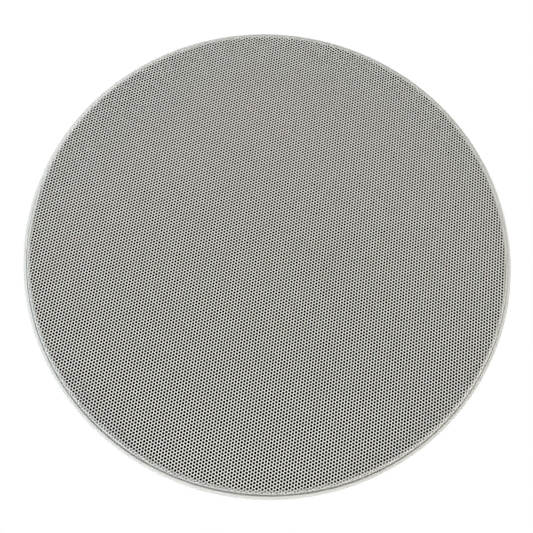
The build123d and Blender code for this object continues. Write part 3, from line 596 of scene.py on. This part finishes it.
clothPiece()
print("scrim done")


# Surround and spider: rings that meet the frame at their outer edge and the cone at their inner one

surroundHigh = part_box("surround")[1]
surroundUser = {"rubber": 0.8 * mm, "rollOuter": 71.5 * mm, "rollInner": 61.0 * mm,
                "innerLanding": 2.2 * mm, "columns": 128, "outerRows": 6, "arcSteps": 19, "innerRows": 5}
spiderLow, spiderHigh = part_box("spider")
spiderUser = {"cloth": 0.45 * mm, "inner": 13.8 * mm, "outer": 43.0 * mm, "waves": 4, "height": 1.35 * mm,
              "collar": (12.85 * mm, 13.3 * mm), "rim": (44.5 * mm, 46.5 * mm), "columns": 96, "steps": 41}


def thickLoop(line, thick):
    # A closed loop round a line: the line moved half the thickness to each side along its own normal
    tangent = np.gradient(line, axis=0)
    normal = np.column_stack([-tangent[:, 1], tangent[:, 0]])
    normal /= np.linalg.norm(normal, axis=1)[:, None]
    return np.concatenate([line + normal * thick / 2, (line - normal * thick / 2)[::-1]])


def flexRing(name, loop, columns, slot, node, fixedAt, movingAt):
    # A loop of section carried round the axis, from the frame at one radius to the cone at the other
    wide = np.ones(columns)
    points, triangles = spinGrid(loop[:, :1] * wide, loop[:, 1:] * wide, loop=True)
    piece = putMesh(name, points, triangles, slot)
    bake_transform(piece)
    # The same smooth share all round the ring: 3 t squared less 2 t cubed, t by distance from the axis
    share = np.clip((fixedAt - np.hypot(points[:, 0], points[:, 1])) / (fixedAt - movingAt), 0.0, 1.0)
    share = share * share * (3 - 2 * share)
    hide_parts(node)


def surroundLine():
    # Flat landing, a half circle bulging to the front, flat landing
    outer, inner, rubber = surroundUser["rollOuter"], surroundUser["rollInner"], surroundUser["rubber"]
    level = surroundHigh.z - rubber / 2
    turn = np.linspace(0.0, math.pi, surroundUser["arcSteps"])
    centre, roll = (outer + inner) / 2, (outer - inner) / 2
    arc = np.column_stack([centre + roll * np.cos(turn), level - roll * np.sin(turn)])
    outReach = np.linspace(surroundHigh.x, outer + rubber, surroundUser["outerRows"])
    inEdge = inner - rubber
    inReach = np.linspace(inEdge, inEdge - surroundUser["innerLanding"], surroundUser["innerRows"])
    landings = [np.column_stack([reach, np.full(len(reach), level)]) for reach in (outReach, inReach)]
    return np.concatenate([landings[0], arc, landings[1]])


def spiderLine():
    # Flat collar, a sine of the distance from the axis, flat rim
    level = (spiderLow.z + spiderHigh.z) / 2
    along = np.linspace(0.0, 1.0, spiderUser["steps"])
    reach = spiderUser["inner"] + (spiderUser["outer"] - spiderUser["inner"]) * along
    wave = level + spiderUser["height"] * np.sin(2 * math.pi * spiderUser["waves"] * along)
    collar = [[radius, level] for radius in spiderUser["collar"]]
    rim = [[radius, level] for radius in (*spiderUser["rim"], spiderHigh.x)]
    return np.concatenate([collar, np.column_stack([reach, wave]), rim])


flexRing("rubberSurround", thickLoop(surroundLine(), surroundUser["rubber"])[::-1], surroundUser["columns"],
         "black_rubber", "surround", surroundUser["rollOuter"], surroundUser["rollInner"])
flexRing("clothSpider", thickLoop(spiderLine(), spiderUser["cloth"])[::-1], spiderUser["columns"],
         "amber_cloth", "spider", spiderUser["outer"], spiderUser["inner"])
print("surround and spider done")


# Screws with their threads and crosses

screwForm = {
    "crownRows": 11,
    "edgeRows": 5,
    "domeDrop": 0.12,        # how far the crown falls to its edge, against its height
    "neck": 1.02,            # the shank under the head, against the thread
    "tipStart": 0.8,         # where the tip begins, against the point's length from the end
    "tipWidth": 0.5,         # the tip's flat, against the shank
    "apart": 1.5 * mm,       # the gap that parts two screws of one node
    "crease": 35.0,
}
clampScrewUser = dict(head=4.2 * mm, tall=3.0 * mm, round=0.9 * mm, shank=2.0 * mm, length=49.5 * mm,
                      pitch=1.6 * mm, thread=0.42 * mm, point=0.8 * mm, crossArm=2.5 * mm,
                      crossWidth=1.0 * mm, crossDepth=1.2 * mm, columns=32, rows=4)
smallScrewUser = dict(head=2.8 * mm, tall=2.0 * mm, round=0.7 * mm, shank=1.5 * mm, length=9.5 * mm,
                      pitch=1.3 * mm, thread=0.32 * mm, point=1.2 * mm, crossArm=1.6 * mm,
                      crossWidth=0.7 * mm, crossDepth=0.9 * mm, columns=32, rows=3)
bridgeScrewUser = dict(smallScrewUser, length=9.0 * mm)
boardScrewUser = dict(smallScrewUser, head=2.6 * mm, tall=1.8 * mm, round=0.6 * mm, shank=1.3 * mm,
                      length=6.0 * mm, pitch=1.1 * mm, crossArm=1.5 * mm)


def screwSurface(user, centre, base, up):
    # One surface from the head's crown to the tip. The crown is a shallow dome with a cross sunk in it, the
    # shank's radius follows a triangular wave of (height / pitch - angle / full turn). up is 1 for a shank
    # that rises.
    columns = user["columns"]
    angle = np.arange(columns) * 2 * math.pi / columns
    wide = np.ones(columns)
    head, tall, shank, length = user["head"], user["tall"], user["shank"], user["length"]
    flatHead = head - user["round"]
    crown = np.linspace(0.0, 1.0, screwForm["crownRows"])[:, None] * wide * flatHead
    along, across = np.abs(crown * np.cos(angle)), np.abs(crown * np.sin(angle))
    arm, half = user["crossArm"], user["crossWidth"] / 2
    sink = ((along < arm) & (across < half)) | ((across < arm) & (along < half))
    dome = tall * (1 - screwForm["domeDrop"] * (crown / head) ** 2) - user["crossDepth"] * sink
    turn = np.linspace(0.0, math.pi / 2, screwForm["edgeRows"])[1:, None] * wide
    edgeTop = tall * (1 - screwForm["domeDrop"] * (flatHead / head) ** 2)
    shoulderR = flatHead + user["round"] * np.sin(turn)
    shoulderZ = edgeTop - user["round"] * (1 - np.cos(turn))
    underR = np.array([[head], [shank * screwForm["neck"]]]) * wide
    underZ = np.zeros_like(underR)
    count = int(length / user["pitch"] * user["rows"])
    down = np.linspace(0.0, 1.0, count)[:, None] * wide * (length - user["point"])
    wave = 2 * np.abs(np.mod(down / user["pitch"] - angle / (2 * math.pi), 1.0) - 0.5)
    fade = np.clip(down / user["pitch"], 0.0, 1.0)
    threadR = shank - user["thread"] * wave * fade
    tipR = np.array([[shank - user["thread"]], [screwForm["tipWidth"] * shank], [0.0]]) * wide
    tipZ = np.array([[length - user["point"] * screwForm["tipStart"]], [length], [length]]) * wide
    radius = np.concatenate([crown, shoulderR, underR, threadR, tipR])
    height = np.concatenate([dome, shoulderZ, underZ, -down, -tipZ])
    points, triangles = spinGrid(radius, height, centre)
    points[:, 2] = base - up * points[:, 2]
    return points, triangles if up > 0 else triangles[:, ::-1]


def clusterCentres(node):
    # Middle of each separate solid of a node: its points fall into groups round the axis
    mesh = nodes[node].data
    place = np.zeros(len(mesh.vertices) * 3, np.float32)
    mesh.vertices.foreach_get("co", place)
    place = place.reshape(-1, 3)[:, :2].astype(float)
    place = place[np.argsort(np.arctan2(place[:, 1], place[:, 0]))]
    angle = np.unwrap(np.arctan2(place[:, 1], place[:, 0]))
    reach = np.hypot(place[:, 0], place[:, 1]).mean()
    groups = np.split(place, np.flatnonzero(np.diff(angle) * reach > screwForm["apart"]) + 1)
    if len(groups) > 1 and np.hypot(*(groups[0][0] - groups[-1][-1])) < screwForm["apart"]:
        groups = [np.concatenate([groups[-1], groups[0]])] + groups[1:-1]
    return [(group.min(axis=0) + group.max(axis=0)) / 2 for group in groups]


def screwSet(name, node, user, body, fromAbove=False):
    # A screw at each of a node's solids, its head at the node's low or high end
    low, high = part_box(node)
    base = high.z - user["tall"] if fromAbove else low.z + user["tall"]
    parts = [screwSurface(user, centre, base, -1 if fromAbove else 1) for centre in clusterCentres(node)]
    piece = putMesh(name, *together(parts), slotOf[node], sharp=screwForm["crease"])
    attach(piece, body)
    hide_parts(node)


for number in (1, 2, 3):
    screwSet(f"threadedClampScrew_{number}", f"clamp_screw_{number}", clampScrewUser, f"screw_{number}")
screwSet("wooferScrewSet", "woofer_screws", smallScrewUser, "frame")
screwSet("bridgeScrewSet", "bridge_screws", bridgeScrewUser, "frame")
screwSet("boardScrewSet", "board_screws", boardScrewUser, "frame", fromAbove=True)
print("screws done")


# Inductor's wire, turn on turn

windingLow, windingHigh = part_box("inductor_winding")
windingUser = {"wire": 0.8 * mm, "bore": 3.0 * mm, "columns": 40, "rowsPerTurn": 6, "crease": 60.0}


def windingPiece():
    # A closed loop of section: straight bore, flat ends, and outside one bulge for each turn, by the square
    # root of the sine's size
    outer = (windingHigh.x - windingLow.x) / 2
    centre = ((windingLow.x + windingHigh.x) / 2, (windingLow.y + windingHigh.y) / 2)
    tall = windingHigh.z - windingLow.z
    turns = int(tall / windingUser["wire"])
    along = np.linspace(0.0, 1.0, turns * windingUser["rowsPerTurn"] + 1)
    bulge = np.abs(np.sin(math.pi * turns * along))
    reach = outer - windingUser["wire"] / 2 * (1 - np.sqrt(bulge))
    outside = np.column_stack([reach, windingLow.z + tall * along])
    bore = [[windingUser["bore"], windingHigh.z], [windingUser["bore"], windingLow.z]]
    loop = np.concatenate([outside, bore])
    wide = np.ones(windingUser["columns"])
    points, triangles = spinGrid(loop[:, :1] * wide, loop[:, 1:] * wide, centre, loop=True)
    piece = putMesh("inductorTurns", points, triangles, "copper_wire", sharp=windingUser["crease"])
    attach(piece, "frame")
    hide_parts("inductor_winding")


windingPiece()
print("winding done")


# Stage: pale floor well below, white beyond, soft lamps

stageUser = {"floorHeight": -1.7, "floorHalf": 30.0, "floorColour": (0.52, 0.52, 0.51), "floorRough": 0.8,
             "fadeFrom": 0.9, "fadeTo": 4.3, "sideLight": 0.05, "faceLight": 0.22}
floorMesh = bpy.data.meshes.new("stageFloor")
floorHalf = stageUser["floorHalf"]
floorCorners = [(x * floorHalf, y * floorHalf, stageUser["floorHeight"])
                for x, y in ((-1, -1), (1, -1), (1, 1), (-1, 1))]
floorMesh.from_pydata(floorCorners, [], [(0, 1, 2, 3)])
floor = bpy.data.objects.new("stageFloor", floorMesh)
bpy.context.scene.collection.objects.link(floor)


def paleFloor():
    # Pale grey below the object, fading to plain white by the distance from it, to the eye only
    material = bpy.data.materials.new("paleFloor")
    material.use_nodes = True
    tree = material.node_tree
    shader = tree.nodes["Principled BSDF"]
    shader.inputs["Base Color"].default_value = (*stageUser["floorColour"], 1.0)
    shader.inputs["Roughness"].default_value = stageUser["floorRough"]
    place = addNode(tree, "ShaderNodeTexCoord").outputs["Object"]
    away = addNode(tree, "ShaderNodeVectorMath", {0: place}, operation="LENGTH").outputs["Value"]
    fade = spread(tree, away, stageUser["fadeFrom"], stageUser["fadeTo"])
    seen = addNode(tree, "ShaderNodeLightPath").outputs["Is Camera Ray"]
    white = addNode(tree, "ShaderNodeEmission")
    share = mathNode(tree, "MULTIPLY", fade, seen)
    blend = addNode(tree, "ShaderNodeMixShader", {0: share, 1: shader.outputs[0], 2: white.outputs[0]})
    tree.links.new(blend.outputs[0], tree.nodes["Material Output"].inputs["Surface"])
    return material


floorMesh.materials.append(paleFloor())


def whiteSurround():
    # White to the eye, in gloss and through glass. As light it is dim from the sides and brighter from
    # straight below and above: the square of the direction's upward part.
    world = bpy.data.worlds.new("whiteSurround")
    bpy.context.scene.world = world
    world.use_nodes = True
    tree = world.node_tree
    background = tree.nodes["Background"]
    path = addNode(tree, "ShaderNodeLightPath")
    seen = mathNode(tree, "MAXIMUM", path.outputs["Is Camera Ray"], path.outputs["Is Glossy Ray"])
    seen = mathNode(tree, "MAXIMUM", seen, path.outputs["Is Transmission Ray"])
    background.inputs["Color"].default_value = (1.0, 1.0, 1.0, 1.0)
    direction = addNode(tree, "ShaderNodeTexCoord").outputs["Generated"]
    way = addNode(tree, "ShaderNodeSeparateXYZ", {0: direction})
    upright = mathNode(tree, "POWER", mathNode(tree, "ABSOLUTE", way.outputs[2]), 2.0)
    light = spread(tree, upright, 0.0, 1.0, stageUser["sideLight"], stageUser["faceLight"])
    tree.links.new(mathNode(tree, "MAXIMUM", light, seen), background.inputs["Strength"])


lamps = {
    "keyBelow": dict(place=(-0.4, 1.3, -1.45), size=0.7, power=21.0, colour=(1.0, 0.985, 0.955)),
    "upperLeft": dict(place=(-0.9, -1.1, -1.4), size=0.7, power=6.0, colour=(1.0, 0.985, 0.955)),
    "softLeft": dict(place=(-1.15, 0.1, -0.85), size=0.8, power=4.4, colour=(0.97, 0.985, 1.0)),
    "softRight": dict(place=(1.25, 0.1, -0.7), size=0.8, power=2.2, colour=(1.0, 0.98, 0.94)),
    "coolGraze": dict(place=(-1.5, 0.45, -0.1), size=0.5, power=13.0, colour=(0.52, 0.77, 1.0)),
    "plainGraze": dict(place=(1.5, 0.35, -0.15), size=0.5, power=13.0, colour=(1.0, 0.99, 0.97)),
    "backTop": dict(place=(0.85, -0.95, 1.9), size=1.2, power=34.0, colour=(1.0, 0.99, 0.97)),
    "backFill": dict(place=(-1.0, 0.75, 1.8), size=1.2, power=22.0, colour=(0.95, 0.97, 1.0)),
}


def addLamp(name, user):
    # A square lamp that looks at the frame's origin
    data = bpy.data.lights.new(name, "AREA")
    data.size = user["size"]
    data.energy = user["power"]
    data.color = user["colour"]
    lamp = bpy.data.objects.new(name, data)
    bpy.context.scene.collection.objects.link(lamp)
    lamp.location = user["place"]
    lamp.rotation_euler = (-Vector(user["place"])).to_track_quat("-Z", "Y").to_euler()


whiteSurround()
for name, user in lamps.items():
    addLamp(name, user)
print("stage lit")


# Camera: below the ceiling, a little to one side, turned slightly

cameraUser = {
    "place": (0.00101, 0.11515, -0.34811),
    "aim": (-0.00016, 0.01156, -0.0052),
    "up": (-0.13465, -0.94843, -0.28697),
    "lens": 50.913,
    "sensor": 36.0,
    "clip": (0.01, 100.0),
}
cameraData = bpy.data.cameras.new("photoCamera")
cameraData.lens = cameraUser["lens"]
cameraData.sensor_width = cameraUser["sensor"]
cameraData.clip_start, cameraData.clip_end = cameraUser["clip"]
camera = bpy.data.objects.new("photoCamera", cameraData)
bpy.context.scene.collection.objects.link(camera)
back = (Vector(cameraUser["place"]) - Vector(cameraUser["aim"])).normalized()
side = Vector(cameraUser["up"]).cross(back).normalized()
turn = Matrix((side, back.cross(side), back)).transposed().to_4x4()
camera.matrix_world = Matrix.Translation(cameraUser["place"]) @ turn
bpy.context.scene.camera = camera
bpy.context.scene.view_settings.view_transform = "Standard"
print("camera set")
